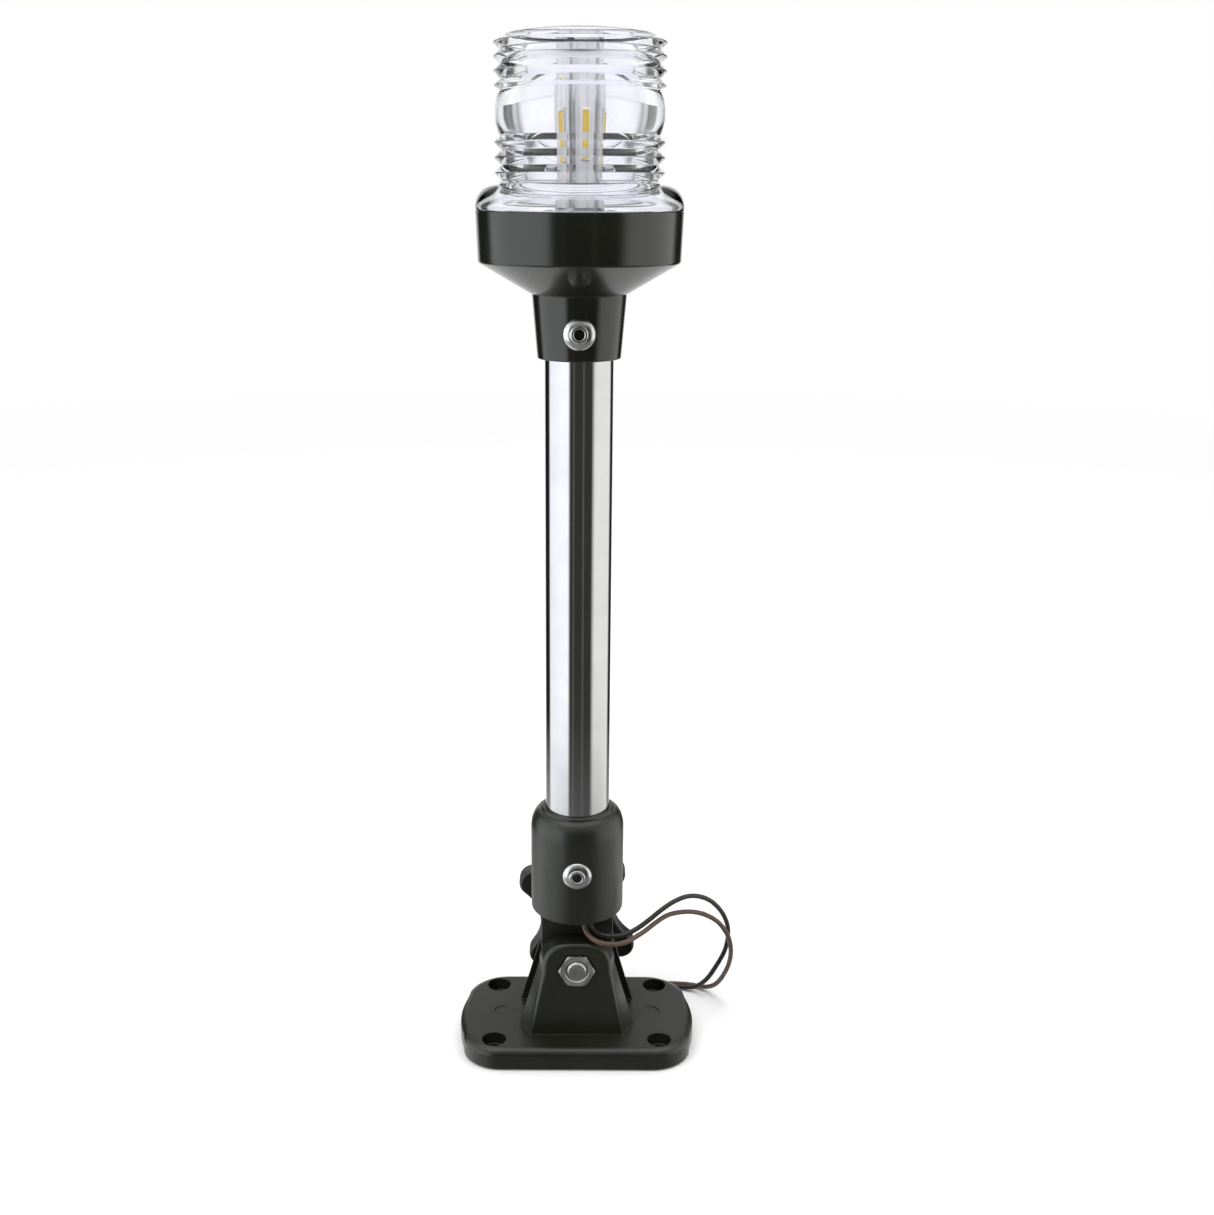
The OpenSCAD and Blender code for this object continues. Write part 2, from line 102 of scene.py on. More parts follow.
def shade(piece, sharp_angle=32):
    """Smooth shading with flat faces kept flat."""
    piece.data.shade_smooth()
    piece.data.set_sharp_from_angle(angle=math.radians(sharp_angle))
    weighted = piece.modifiers.new("weighted_normals", "WEIGHTED_NORMAL")
    weighted.keep_sharp = True
    return piece


def combine(piece, tools, operation):
    """piece with closed tool meshes joined to it or cut from it."""
    for tool in tools:
        cut = piece.modifiers.new("cut", "BOOLEAN")
        cut.operation = operation
        cut.solver = "EXACT"
        cut.object = tool
    apply_modifiers(piece)
    for tool in tools:
        bpy.data.objects.remove(tool)
    return piece


def fillet(corners, steps=5):
    """Points of a closed outline whose corners (a, b, reach) are rounded over that reach."""
    points = []
    for i, (a, b, reach) in enumerate(corners):
        corner = Vector((a, b))
        if not reach:
            points.append(corner)
            continue
        before = Vector(corners[i - 1][:2]) - corner
        after = Vector(corners[(i + 1) % len(corners)][:2]) - corner
        start = corner + before.normalized() * min(reach, 0.48 * before.length)
        end = corner + after.normalized() * min(reach, 0.48 * after.length)
        for k in range(steps + 1):
            t = k / steps
            points.append((1 - t) ** 2 * start + 2 * t * (1 - t) * corner + t * t * end)
    return points


def revolve(name, outline, segments=128, origin=(0, 0, 0), axis="z"):
    """A closed outline of (radius, height) turned about an axis through origin."""
    points = []
    rings = []
    for radius, height in outline:
        if radius < 1e-6:
            rings.append([len(points)] * segments)
            points.append((0, 0, height))
            continue
        rings.append([len(points) + k for k in range(segments)])
        for k in range(segments):
            angle = 2 * math.pi * k / segments
            points.append((radius * math.cos(angle), radius * math.sin(angle), height))
    faces = []
    for one, two in zip(rings, rings[1:] + rings[:1]):
        for k in range(segments):
            n = (k + 1) % segments
            corners = list(dict.fromkeys([one[k], one[n], two[n], two[k]]))
            if len(corners) > 2:
                faces.append(corners)
    turn = {"z": Matrix(), "-y": Matrix.Rotation(math.pi / 2, 3, "X"),
            "y": Matrix.Rotation(-math.pi / 2, 3, "X")}[axis].to_3x3()
    return make_mesh(name, [turn @ Vector(p) + Vector(origin) for p in points], faces)


def loft(name, rings):
    """A closed skin through rings of the same number of points, with flat ends."""
    n = len(rings[0])
    points = [p for ring in rings for p in ring]
    faces = [[i * n + k, i * n + (k + 1) % n, (i + 1) * n + (k + 1) % n, (i + 1) * n + k]
             for i in range(len(rings) - 1) for k in range(n)]
    faces += [list(range(n)), list(range((len(rings) - 1) * n, len(rings) * n))]
    return make_mesh(name, points, faces)


def arc(centre, radius, start, end, steps):
    """Points of an arc in a plane, its angles in degrees."""
    return [(centre[0] + radius * math.cos(math.radians(start + (end - start) * k / steps)),
             centre[1] + radius * math.sin(math.radians(start + (end - start) * k / steps)))
            for k in range(steps + 1)]


def ease(value, low, high):
    t = min(1, max(0, (value - low) / (high - low)))
    return t * t * (3 - 2 * t)


def box_mm(node):
    low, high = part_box(node)
    return low / MM, high / MM


# ---------------------------------------------------------------- wire leads

WIRE_D = 2.0
LEAD_LENGTH = 305
TIP_LENGTH = 8
COIL_LOW, COIL_HIGH = box_mm("wire_coil")
COIL_CENTRE = ((COIL_LOW.x + COIL_HIGH.x) / 2, (COIL_LOW.y + COIL_HIGH.y) / 2)
TIE_T = 0.3

BLACK_ROUTE = [
    [5.2, -11.75, 57.3], [5.5, -11.9, 55.6], [7.2, -12.6, 53.6], [11, -13.4, 52.2], [16, -13, 51.6],
    [20.5, -11.8, 52.2], [25, -9.5, 53.6], [30, -6.8, 56.2], [35, -4.2, 59.2], [40, -1.4, 61.2],
    [45.5, 1.6, 61.8], [51, 4.6, 60], [56.2, 8, 55.8], [61, 11.6, 48.8], [63.8, 14.8, 41],
    [64.4, 17.8, 33], [63.4, 20.6, 25], [60.6, 23.8, 16.4], [57, 27, 8], [52.4, 30, 2.4],
    [46, 31.8, 1], [37, 32.5, 1], [26, 32.5, 1], [16, 32.5, 1], [6.6, 32.5, 1]]
BROWN_ROUTE = [
    [2.8, -11.75, 57.3], [3, -12.6, 55.4], [4.4, -14.6, 53.2], [8, -16.8, 51.4], [12.7, -17.4, 50.5],
    [18.9, -15.4, 50], [26.4, -10.6, 51.8], [32.7, -6, 54.4], [38.1, -2.2, 55.6], [45.7, 2.2, 54.4],
    [52.7, 5.6, 51.4], [59, 8.4, 46.2], [63.4, 10.6, 39], [65.4, 13.6, 31], [65.6, 17.2, 23],
    [64.2, 21.4, 14.6], [61.4, 26, 6.6], [57.6, 30.4, 2], [52, 33.4, 1], [45, 34.6, 1],
    [34, 34.7, 1], [22, 34.7, 1], [8.9, 34.7, 1]]


def smooth_line(route):
    """Points about a millimetre apart on a curve through a route."""
    knots = [Vector(p) for p in route]
    knots = [2 * knots[0] - knots[1]] + knots + [2 * knots[-1] - knots[-2]]
    line = []
    for a, b, c, d in zip(knots, knots[1:], knots[2:], knots[3:]):
        steps = max(2, math.ceil((c - b).length))
        for k in range(steps):
            t = k / steps
            line.append(0.5 * (2 * b + (c - a) * t + (2 * a - 5 * b + 4 * c - d) * t ** 2
                               + (3 * b - a - 3 * c + d) * t ** 3))
    line.append(knots[-2])
    for point in line:
        point.z = max(point.z, WIRE_D / 2)
    return line


def length_of(line):
    return sum((b - a).length for a, b in zip(line, line[1:]))


def coil_point(radius, turned):
    """A point of a clockwise coil that starts on its side nearest the base and climbs onto itself."""
    angle = -math.pi / 2 - turned
    degrees = math.degrees(turned)
    height = WIRE_D / 2 + TIE_T * ease(degrees, 40, 130) + WIRE_D * ease(degrees, 215, 320)
    return Vector((COIL_CENTRE[0] + radius * math.cos(angle), COIL_CENTRE[1] + radius * math.sin(angle),
                   height))


def lead_line(route, length):
    """(the lead's whole centreline, the centreline of its bare tip)"""
    line = smooth_line(route)
    radius = COIL_CENTRE[1] - route[-1][1]
    line += [Vector((route[-1][0] * (1 - k / 6), route[-1][1], route[-1][2])) for k in range(1, 6)]
    line.append(coil_point(radius, 0))
    left = length - length_of(line)
    steps = math.ceil(left)
    line += [coil_point(radius, left * k / steps / radius) for k in range(1, steps + 1)]
    tip = [coil_point(radius, (left - 0.5 + TIP_LENGTH * k / 8) / radius) for k in range(9)]
    return line, tip


def tube(name, line, radius, sides=14):
    """A round tube swept along a line without twisting, with slightly rounded ends."""
    end_rings = {0: [(0, 0.8), (0.12 * radius, 1)], len(line) - 1: [(-0.12 * radius, 1), (0, 0.8)]}
    rings = []
    side = None
    for i, point in enumerate(line):
        along = (line[min(i + 1, len(line) - 1)] - line[max(i - 1, 0)]).normalized()
        side = along.orthogonal() if side is None else side - along * side.dot(along)
        side.normalize()
        other = along.cross(side)
        for shift, scale in end_rings.get(i, [(0, 1)]):
            rings.append([point + along * shift + radius * scale * (side * math.cos(a) + other * math.sin(a))
                          for a in (2 * math.pi * k / sides for k in range(sides))])
    return shade(loft(name, rings), 50)


def lead(name, route, body_radius):
    line, tip_line = lead_line(route, LEAD_LENGTH)
    wire = tube(name, line, body_radius)
    tip = tube(name + "_bare_tip", tip_line, 0.36 * WIRE_D, 10)
    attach(tip, "base")
    return wire, tip


black_lead, black_tip = lead("black_lead", BLACK_ROUTE, WIRE_D / 2)
brown_lead, brown_tip = lead("brown_lead", BROWN_ROUTE, WIRE_D / 2)
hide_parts("black_wire_run", "wire_coil")
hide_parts("brown_wire_run")
for wire in (black_lead, brown_lead):
    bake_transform(wire)


def coil_tie():
    """Flat black tie round both turns, on the coil's far side."""
    low, high = 0.0, 2 * WIRE_D + TIE_T + 0.25
    inner, outer = 7.3, 12.5
    at = COIL_CENTRE[1]
    outline = fillet([(at + inner, low, 0.9), (at + outer, low, 0.9),
                      (at + outer, high, 0.9), (at + inner, high, 0.9)])
    hole = fillet([(at + inner + TIE_T, low + TIE_T, 0.8), (at + outer - TIE_T, low + TIE_T, 0.8),
                   (at + outer - TIE_T, high - TIE_T, 0.8), (at + inner + TIE_T, high - TIE_T, 0.8)])
    band = loft("coil_tie", [[(x, p.x, p.y) for p in outline] for x in (-1.2, 1.2)])
    window = loft("window", [[(x, p.x, p.y) for p in hole] for x in (-2, 2)])
    combine(band, [window], "DIFFERENCE")
    bevel = band.modifiers.new("bevel", "BEVEL")
    bevel.width = 0.08 * MM
    apply_modifiers(band)
    return shade(band)


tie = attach(coil_tie(), "base")

# ---------------------------------------------------------------- studio

BACKDROP = (1.0, 1.0, 1.0, 1)
LIGHT_SCALE = 3.0
FLOOR_FADE = (0.35, 2.2)


def add_node(tree, kind, inputs=(), **settings):
    """A node with its settings and its inputs' values or incoming sockets."""
    node = tree.nodes.new(kind)
    for key, value in settings.items():
        setattr(node, key, value)
    for key, value in dict(inputs).items():
        if isinstance(value, bpy.types.NodeSocket):
            tree.links.new(value, node.inputs[key])
        else:
            node.inputs[key].default_value = value
    return node


def add_ramp(tree, factor, stops, interpolation="LINEAR"):
    """A colour ramp; each stop is (place, grey) or (place, colour)."""
    node = add_node(tree, "ShaderNodeValToRGB", {"Fac": factor})
    ramp = node.color_ramp
    ramp.interpolation = interpolation
    while len(ramp.elements) < len(stops):
        ramp.elements.new(0.5)
    for i, (place, _) in enumerate(stops):
        ramp.elements[i].position = place
    for i, (_, value) in enumerate(stops):
        colour = tuple(value) if hasattr(value, "__len__") else (value,) * 3
        ramp.elements[i].color = (*colour[:3], 1)
    return node.outputs["Color"]


def add_math(tree, operation, *values):
    node = add_node(tree, "ShaderNodeMath", {}, operation=operation)
    for i, value in enumerate(values):
        if isinstance(value, bpy.types.NodeSocket):
            tree.links.new(value, node.inputs[i])
        else:
            node.inputs[i].default_value = value
    return node.outputs[0]


def by_degrees(stops, whole):
    """Ramp stops from (angle, brightness or colour), with angles from minus half to plus half of whole."""
    return [(0.5 + angle / whole, tuple(c / LIGHT_SCALE for c in (v if hasattr(v, "__len__") else (v,) * 3)))
            for angle, v in stops]


def studio_world():
    """Tall soft boxes left and right, a white wall behind, a pale floor low down, dark towards the camera.

    Rays that have passed through the lens see a plainer room of their own.
    """
    world = bpy.data.worlds.new("studio")
    world.use_nodes = True
    scene.world = world
    tree = world.node_tree
    tree.nodes.clear()
    direction = add_node(tree, "ShaderNodeTexCoord").outputs["Generated"]
    axes = add_node(tree, "ShaderNodeSeparateXYZ", {0: direction}).outputs
    towards = add_math(tree, "MULTIPLY", axes[1], -1.0)
    azimuth = add_math(tree, "MULTIPLY_ADD", add_math(tree, "ARCTAN2", axes[0], towards), 0.5 / math.pi, 0.5)
    elevation = add_math(tree, "MULTIPLY_ADD", add_math(tree, "ARCSINE", axes[2]), 1 / math.pi, 0.5)
    rays = add_node(tree, "ShaderNodeLightPath").outputs

    def around(*stops):
        return add_ramp(tree, azimuth, by_degrees(stops, 360))

    def upwards(*stops):
        return add_ramp(tree, elevation, by_degrees([(a, LIGHT_SCALE * v) for a, v in stops], 180))

    def vector(operation, a, b):
        return add_node(tree, "ShaderNodeVectorMath", {0: a, 1: b}, operation=operation).outputs[0]

    def blend(factor, one, two):
        return add_node(tree, "ShaderNodeMixRGB", {0: factor, 1: one, 2: two}).outputs[0]

    left, right, dark = (1.70, 1.79, 1.82), (1.06, 1.06, 1.01), (0.05, 0.052, 0.045)
    strip = (0.17, 0.175, 0.14)
    level = around(
        (-180, 1.05), (-158, 1.05), (-150, 0), (-120, 0.03), (-112, 0.8 * Vector(left)),
        (-60, 0.9 * Vector(left)), (-36, 0.9 * Vector(left)), (-29, dark), (-20, dark), (-17, strip),
        (-13, dark), (12, dark), (16, strip), (20, dark), (44, dark), (55, Vector(right)),
        (60, 1.15 * Vector(right)), (124, 1.15 * Vector(right)), (134, 0.03), (156, 0), (163, 1.05),
        (180, 1.05))
    low = around((-180, 0.9), (-140, 0.95), (-102, 1.0), (-80, 0.7), (-40, 0.30), (0, 0.22), (60, 0.20),
                 (91, 0.42), (125, 0.9), (180, 0.9))
    high = around((-180, 0.38), (-120, 0.5), (-80, 1.3), (-40, 0.8), (0, 0.3), (50, 0.6), (90, 1.0),
                  (130, 0.5), (180, 0.38))
    light = blend(upwards((-90, 1), (-30, 1), (-21, 0), (90, 0)), level, low)
    light = blend(upwards((-90, 0), (16, 0), (30, 1), (90, 1)), light, high)
    overhead = upwards((-90, 0), (50, 0), (68, 0.37), (90, 0.4))
    light = vector("ADD", light, overhead)

    through_level = around((-180, 1.08), (-158, 1.0), (-150, 0.12), (-128, 0.10), (-118, 0.9), (-60, 1.0),
                           (-30, 0.3), (30, 0.3), (60, 1.0), (118, 0.9), (128, 0.16), (150, 0.2),
                           (158, 1.0), (180, 1.08))
    through = blend(upwards((-90, 1), (-10, 1), (-4, 0), (90, 0)), through_level, (0.012, 0.013, 0.010, 1))
    through = blend(upwards((-90, 0), (24, 0), (36, 1), (90, 1)), through, (0.30, 0.30, 0.32, 1))
    light = blend(rays["Is Transmission Ray"], light, through)

    shown = add_node(tree, "ShaderNodeBackground", {"Color": light, "Strength": LIGHT_SCALE}).outputs[0]
    plain = add_node(tree, "ShaderNodeBackground", {"Color": BACKDROP}).outputs[0]
    mixed = add_node(tree, "ShaderNodeMixShader", {0: rays["Is Camera Ray"], 1: shown, 2: plain}).outputs[0]
    add_node(tree, "ShaderNodeOutputWorld", {"Surface": mixed})


def soft_light(name, location, size, power, target=(0, 0, 0.1)):
    data = bpy.data.lights.new(name, "AREA")
    data.size = size
    data.energy = power
    light = bpy.data.objects.new(name, data)
    light.location = location
    light.rotation_euler = (Vector(target) - Vector(location)).to_track_quat("-Z", "Y").to_euler()
    light.visible_glossy = False
    light.visible_transmission = False
    scene.collection.objects.link(light)


def pale_floor():
    """A pale floor that fades into the backdrop well behind the object."""
    bpy.ops.mesh.primitive_circle_add(vertices=96, radius=4, fill_type="NGON", location=(0, 0, -0.0002))
    floor = bpy.context.object
    floor.name = "floor"
    material = bpy.data.materials.new("pale_floor")
    material.use_nodes = True
    tree = material.node_tree
    surface = tree.nodes["Principled BSDF"]
    surface.inputs["Roughness"].default_value = 0.75
    surface.inputs["Specular IOR Level"].default_value = 0.1
    place = add_node(tree, "ShaderNodeTexCoord").outputs["Object"]
    grain = add_node(tree, "ShaderNodeTexNoise", {"Vector": place, "Scale": 60.0, "Detail": 4.0}).outputs[0]
    tree.links.new(add_ramp(tree, grain, [(0.3, 0.80), (0.7, 0.83)]), surface.inputs["Base Color"])
    distance = add_node(tree, "ShaderNodeVectorMath", {0: place}, operation="LENGTH").outputs["Value"]
    fade = add_node(tree, "ShaderNodeMapRange", {0: distance, 1: FLOOR_FADE[0], 2: FLOOR_FADE[1]},
                    interpolation_type="SMOOTHSTEP")
    far = add_node(tree, "ShaderNodeEmission", {"Color": BACKDROP}).outputs[0]
    mixed = add_node(tree, "ShaderNodeMixShader",
                     {0: fade.outputs[0], 1: surface.outputs[0], 2: far}).outputs[0]
    tree.links.new(mixed, tree.nodes["Material Output"].inputs["Surface"])
    floor.data.materials.append(material)
    floor.visible_glossy = False


scene.view_settings.view_transform = "Standard"
studio_world()
pale_floor()
soft_light("key_light", (-0.9, -0.7, 1.3), 0.9, 9)
soft_light("fill_light", (1.1, -0.4, 1.0), 0.9, 5)
soft_light("top_light", (0.1, 0.5, 1.5), 1.2, 9)

# ---------------------------------------------------------------- materials

WORN_BLACK = (0.075, 0.077, 0.066, 1)


class Look:
    """A material's Principled shader with the few textures that every finish here is made of."""

    def __init__(self, name, **values):
        self.material = bpy.data.materials.new(name)
        self.material.use_nodes = True
        self.tree = self.material.node_tree
        self.surface = self.tree.nodes["Principled BSDF"]
        self.place = add_node(self.tree, "ShaderNodeTexCoord").outputs["Object"]
        for key, value in values.items():
            self.surface.inputs[key.replace("_", " ")].default_value = value

    def feed(self, key, socket):
        self.tree.links.new(socket, self.surface.inputs[key])

    def stretched(self, scale):
        return add_node(self.tree, "ShaderNodeMapping", {"Vector": self.place, "Scale": scale}).outputs[0]

    def noise(self, scale, detail=3.0, rough=0.55, place=None):
        return add_node(self.tree, "ShaderNodeTexNoise",
                        {"Vector": place or self.place, "Scale": scale, "Detail": detail,
                         "Roughness": rough}).outputs[0]

    def ramp(self, factor, stops, interpolation="LINEAR"):
        return add_ramp(self.tree, factor, stops, interpolation)

    def mix(self, factor, one, two):
        node = add_node(self.tree, "ShaderNodeMix", {}, data_type="RGBA")
        for socket, value in zip((node.inputs[0], node.inputs[6], node.inputs[7]), (factor, one, two)):
            if isinstance(value, bpy.types.NodeSocket):
                self.tree.links.new(value, socket)
            else:
                socket.default_value = value
        return node.outputs[2]

    def edges(self, radius):
        """About 0 on open faces, rising to 1 at edges."""
        rounded = add_node(self.tree, "ShaderNodeBevel", {"Radius": radius}, samples=4).outputs[0]
        true = add_node(self.tree, "ShaderNodeNewGeometry").outputs["Normal"]
        facing = add_node(self.tree, "ShaderNodeVectorMath", {0: rounded, 1: true}, operation="DOT_PRODUCT")
        return self.ramp(facing.outputs["Value"], [(0.80, 1.0), (0.985, 0.0)])

    def bump(self, *heights):
        """heights are (socket, depth in metres)."""
        normal = None
        for height, depth in heights:
            inputs = {"Height": height, "Distance": depth, "Strength": 1.0}
            if normal is not None:
                inputs["Normal"] = normal
            normal = add_node(self.tree, "ShaderNodeBump", inputs).outputs[0]
        self.feed("Normal", normal)


def moulded(name, colour, roughness, spread, grain_depth, ior=1.62):
    """Injection-moulded plastic: faint flow marks, a fine skin, rubbed edges and smudges."""
    look = Look(name, IOR=ior)
    flow = look.noise(38.0, 4.0)
    body = look.ramp(flow, [(0.32, [c * 0.82 for c in colour]), (0.68, [c * 1.2 for c in colour])])
    scuffs = look.ramp(look.noise(420.0, 5.0, 0.7), [(0.50, 0.0), (0.72, 1.0)])
    worn = add_math(look.tree, "MULTIPLY", look.edges(0.5 * MM), scuffs)
    worn = add_math(look.tree, "MULTIPLY", worn, 0.55)
    look.feed("Base Color", look.mix(worn, body, WORN_BLACK))
    smudges = look.ramp(look.noise(55.0, 6.0, 0.62),
                        [(0.35, roughness - spread), (0.62, roughness + 0.4 * spread),
                         (0.8, roughness + 1.4 * spread)])
    look.feed("Roughness", add_math(look.tree, "MULTIPLY_ADD", worn, 0.25, smudges))
    look.bump((look.noise(2600.0, 2.0), grain_depth), (look.noise(130.0, 3.0), 1.2 * grain_depth))
    return look.material


def metal(name, colour, roughness, lines, depth, tarnish=0.8):
    """Bright metal with fine tool or polishing lines along the squeezed axis of lines, and light tarnish."""
    look = Look(name, Metallic=1.0)
    marks = look.noise(1.0, 4.0, 0.6, look.stretched(lines))
    cloud = look.noise(70.0, 5.0, 0.6)
    look.feed("Base Color", look.ramp(cloud, [(0.35, [c * tarnish for c in colour]), (0.6, colour)]))
    rubbed = look.ramp(marks, [(0.3, 0.7 * roughness), (0.7, 1.35 * roughness)])
    clouded = (1.9 * roughness,) * 3 + (1,)
    look.feed("Roughness", look.mix(look.ramp(cloud, [(0.3, 0.35), (0.5, 0.0)]), rubbed, clouded))
    look.bump((marks, depth))
    return look.material


def insulation(name, colour, roughness=0.36):
    """Extruded PVC with a slightly uneven skin."""
    look = Look(name, IOR=1.52)
    look.feed("Base Color", look.ramp(look.noise(90.0, 4.0), [(0.3, [c * 0.8 for c in colour]),
                                                             (0.7, [c * 1.18 for c in colour])]))
    look.feed("Roughness", look.ramp(look.noise(300.0, 4.0),
                                     [(0.3, roughness - 0.08), (0.7, roughness + 0.12)]))
    look.bump((look.noise(700.0, 3.0), 0.00003))
    return look.material


def rubber(name, colour=(0.016, 0.016, 0.015)):
    look = Look(name, IOR=1.5)
    look.feed("Base Color", look.ramp(look.noise(160.0, 5.0),
                                      [(0.35, colour), (0.7, [c * 2.1 for c in colour])]))
    look.feed("Roughness", look.ramp(look.noise(500.0, 3.0), [(0.3, 0.62), (0.7, 0.85)]))
    look.bump((look.noise(1800.0, 3.0), 0.00004))
    return look.material


def clear_plastic(name):
    """Clear moulded polycarbonate, faintly blue, with handling haze."""
    look = Look(name, IOR=1.49, Transmission_Weight=1.0)
    haze = look.noise(48.0, 6.0, 0.65)
    look.feed("Base Color", look.ramp(look.noise(20.0, 2.0),
                                      [(0.3, (0.945, 0.955, 1.0)), (0.7, (0.975, 0.98, 1.0))]))
    look.feed("Roughness", look.ramp(haze, [(0.45, 0.006), (0.7, 0.022), (0.85, 0.05)]))
    look.bump((look.noise(90.0, 2.0), 0.000006))
    return look.material


def circuit_board(name, colour, track):
    """Solder mask over copper tracks, with bare metal pads."""
    look = Look(name, IOR=1.5)
    grid = look.stretched((1, 1, 0.02))
    cells = add_node(look.tree, "ShaderNodeTexVoronoi", {"Vector": grid, "Scale": 330.0},
                     feature="DISTANCE_TO_EDGE", distance="MANHATTAN").outputs["Distance"]
    tracks = look.ramp(cells, [(0.06, 1.0), (0.09, 0.0)], "CONSTANT")
    pads = add_node(look.tree, "ShaderNodeTexVoronoi", {"Vector": grid, "Scale": 260.0}).outputs["Distance"]
    pads = look.ramp(pads, [(0.0, 1.0), (0.16, 0.0)], "CONSTANT")
    masked = look.mix(tracks, (*colour, 1), (*track, 1))
    look.feed("Base Color", look.mix(pads, masked, (0.72, 0.70, 0.66, 1)))
    look.feed("Metallic", pads)
    look.feed("Roughness", look.ramp(look.noise(400.0, 3.0), [(0.3, 0.3), (0.7, 0.5)]))
    look.bump((tracks, 0.00003), (pads, 0.00006))
    return look.material


def speckled(name, colour, roughness, depth, scale=900.0, **values):
    """A plain matt body with a fine uneven surface."""
    look = Look(name, **values)
    look.feed("Base Color", look.ramp(look.noise(scale / 6, 4.0), [(0.3, [c * 0.8 for c in colour]),
                                                                  (0.7, [min(1, c * 1.12) for c in colour])]))
    look.feed("Roughness", look.ramp(look.noise(scale, 3.0),
                                     [(0.3, roughness - 0.06), (0.7, roughness + 0.1)]))
    look.bump((look.noise(scale, 3.0), depth))
    return look.material


OLIVE_BLACK = (0.0095, 0.0105, 0.0062)
satin_black = moulded("satin_black", OLIVE_BLACK, 0.35, 0.05, 0.000010)
gloss_black = moulded("gloss_black", (0.0080, 0.0088, 0.0058), 0.17, 0.025, 0.000003)
knob_black = moulded("knob_black", (0.0085, 0.0088, 0.0070), 0.42, 0.06, 0.000014)
polished_tube = metal("polished_steel", (0.62, 0.62, 0.64), 0.085, (2600, 2600, 14), 0.0000012, 0.93)
machined_steel = metal("machined_steel", (0.66, 0.665, 0.66), 0.24, (900, 60, 900), 0.000004, 0.75)
nut_steel = metal("nut_steel", (0.86, 0.86, 0.82), 0.34, (700, 60, 700), 0.000003, 0.45)
deck_black = moulded("deck_black", (0.006, 0.0065, 0.005), 0.6, 0.05, 0.000010, 1.22)
dark_steel = metal("dark_steel", (0.20, 0.20, 0.195), 0.38, (600, 600, 600), 0.000010, 0.6)
satin_aluminium = metal("satin_aluminium", (0.74, 0.745, 0.75), 0.20, (500, 500, 500), 0.000004, 0.85)
tower_aluminium = metal("tower_aluminium", (0.78, 0.78, 0.79), 0.30, (1500, 1500, 30), 0.000004, 0.9)
tinned_copper = metal("tinned_copper", (0.66, 0.64, 0.60), 0.32, (300, 300, 300), 0.00003, 0.7)
black_pvc = insulation("black_pvc", (0.018, 0.017, 0.012), 0.30)
brown_pvc = insulation("brown_pvc", (0.080, 0.050, 0.034), 0.30)
red_pvc = insulation("red_pvc", (0.42, 0.05, 0.03))
black_rubber = rubber("black_rubber")
lens_clear = clear_plastic("lens_clear")
green_board = circuit_board("green_board", (0.02, 0.14, 0.06), (0.05, 0.26, 0.12))
white_board = circuit_board("white_board", (0.80, 0.80, 0.79), (0.70, 0.70, 0.71))
capacitor_sleeve = speckled("capacitor_sleeve", (0.02, 0.022, 0.05), 0.28, 0.000008)
ferrite_grey = speckled("ferrite_grey", (0.07, 0.07, 0.072), 0.62, 0.00003)
chip_moulding = speckled("chip_moulding", (0.018, 0.018, 0.018), 0.5, 0.000015)
phosphor = speckled("phosphor", (0.93, 0.60, 0.10), 0.34, 0.00002, 1500.0, Subsurface_Weight=0.15)
led_frame = speckled("led_frame", (0.86, 0.86, 0.83), 0.4, 0.00001)


def finish_with(piece, *materials):
    piece.data.materials.clear()
    for material in materials:
        piece.data.materials.append(material)
    return piece


finish_with(black_lead, black_pvc)
finish_with(brown_lead, brown_pvc)
finish_with(black_tip, tinned_copper)
finish_with(brown_tip, tinned_copper)
finish_with(tie, black_rubber)

# ---------------------------------------------------------------- deck base

PIVOT_Z = frame["joints"][0]["pos_m"][2] / MM
BASE_HIGH = box_mm("mounting_base")[1]
NUT_LOW, NUT_HIGH = box_mm("pivot_nut")
WASHER_LOW = box_mm("knob_washer")[0]
TONGUE_HALF = 8.9
SLOT_Y = TONGUE_HALF + 0.3
EAR_Y = WASHER_LOW.y - 0.1
PLATE_T = 9.0
CORNER_R = 16.0
END_R = 46.0
PLATE_EDGE_R = 3.0
HOLES = frame["record"]["mounts"][0]["dims"]
HOLE_R = HOLES["hole_r_mm"]
SINK_R = 4.8
SINK_DEPTH = 5.4
STUD_HOLE_R = 4.1
MARK_X = 30.5
EAR_FOOT, EAR_WAIST, EAR_CROWN = 19.6, 13.9, 11.7


def plate_ring(height, inset):
    """The plate's outline, shrunk by an inset, at a height."""
    half_l, half_w = BASE_HIGH.x - inset, BASE_HIGH.y - inset
    tip = math.degrees(math.asin((half_w - CORNER_R) / END_R))
    bow = END_R * (1 - math.cos(math.radians(tip)))
    right = arc((half_l - END_R, 0), END_R, 0, tip, 10)
    right += arc((half_l - bow - CORNER_R, half_w - CORNER_R), CORNER_R, 17, 90, 14)
    quarter = right + [(-x, y) for x, y in reversed(right)]
    return [(x, y, height) for x, y in quarter + [(x, -y) for x, y in reversed(quarter[1:-1])]]


def ear_ring(y, foot, waist, crown):
    """An ear's outline seen along the fold axis, at one y."""
    power = 2.6
    ring = []
    for k in range(41):
        a = math.pi * k / 40
        ring.append((waist * math.copysign(abs(math.cos(a)) ** (2 / power), math.cos(a)), y,
                     PIVOT_Z + crown * math.sin(a) ** (2 / power)))
    low = PLATE_T - 1
    for side in (-1, 1):
        for k in range(6):
            t = k / 5 if side > 0 else 1 - k / 5
            ring.append((side * (foot + (waist - foot) * t * 0.9), y, low + (PIVOT_Z - low) * t * 0.9))
    return ring


